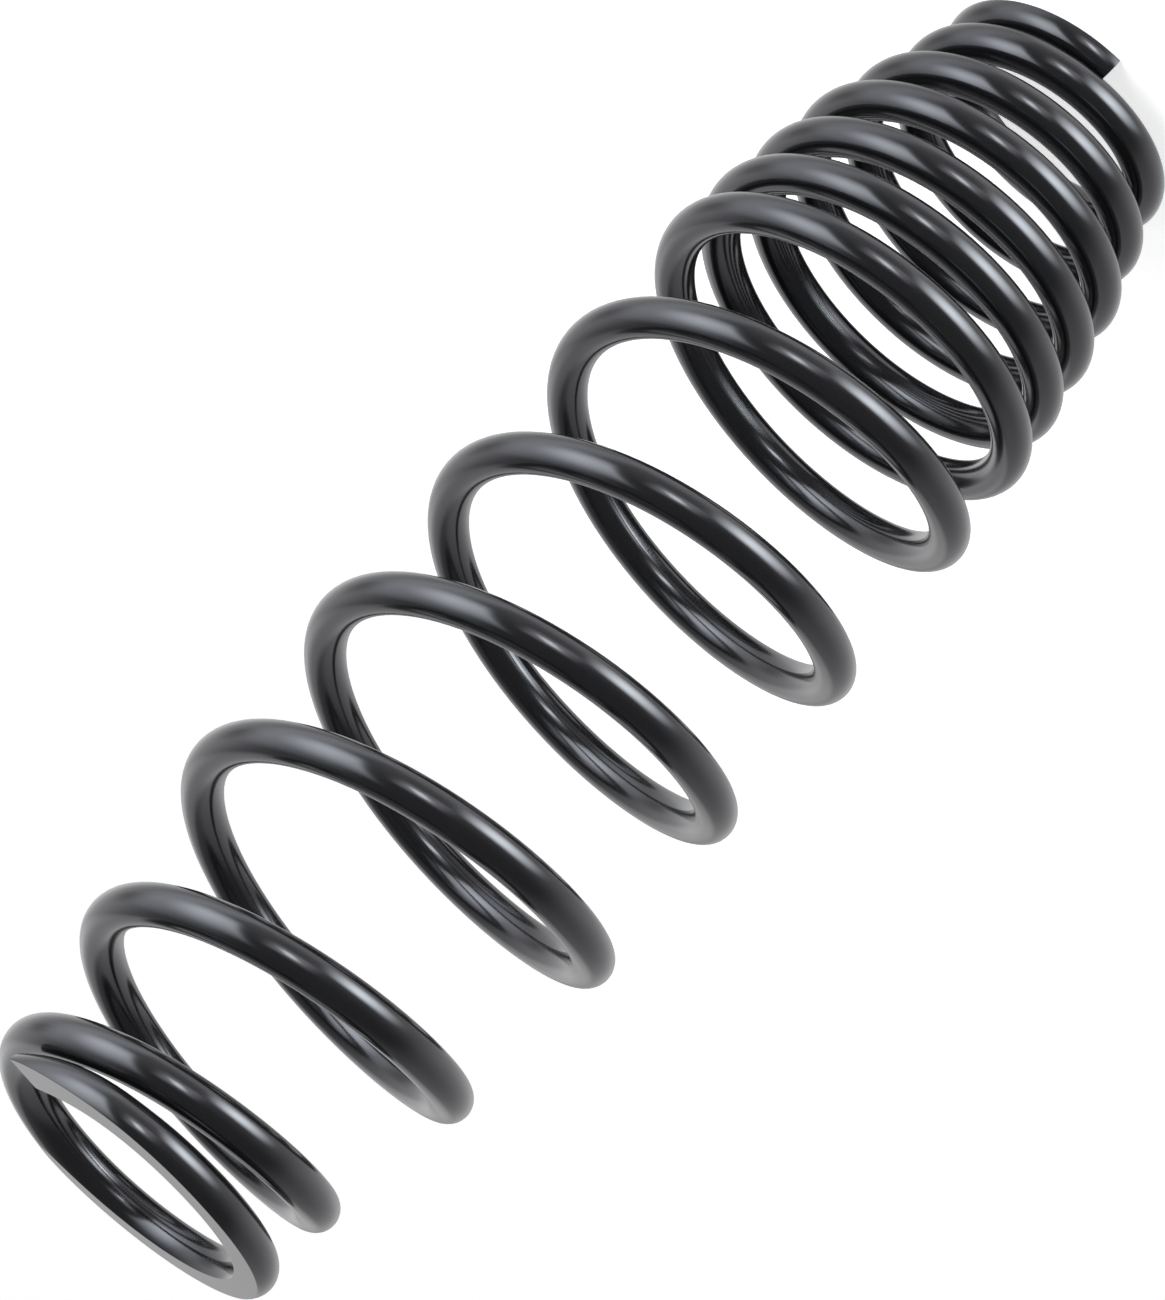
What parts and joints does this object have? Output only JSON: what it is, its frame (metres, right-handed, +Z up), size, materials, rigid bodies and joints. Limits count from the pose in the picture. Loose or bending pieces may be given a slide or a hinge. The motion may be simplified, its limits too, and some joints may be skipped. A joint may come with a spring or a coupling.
{
  "type": "shock absorber coil spring",
  "caption": "A black coil spring for a shock absorber: round wire wound in close, narrow coils at the foot and wide, open coils above, with flat ground ends that sit in spring seats.",
  "frame": {"origin": "on the spring's axis, in the plane of the foot's ground face", "axes": "+Z up the axis to the top's ground face; -Y to the side on which the wire starts at the foot; +X to the right of it"},
  "size_m": [0.0892, 0.0892, 0.3],
  "materials": {
    "powder_coat": "gloss black powder coat over steel wire"
  },
  "bodies": {
    "root": {"coil_spring": "powder_coat"}
  },
  "joints": []
}
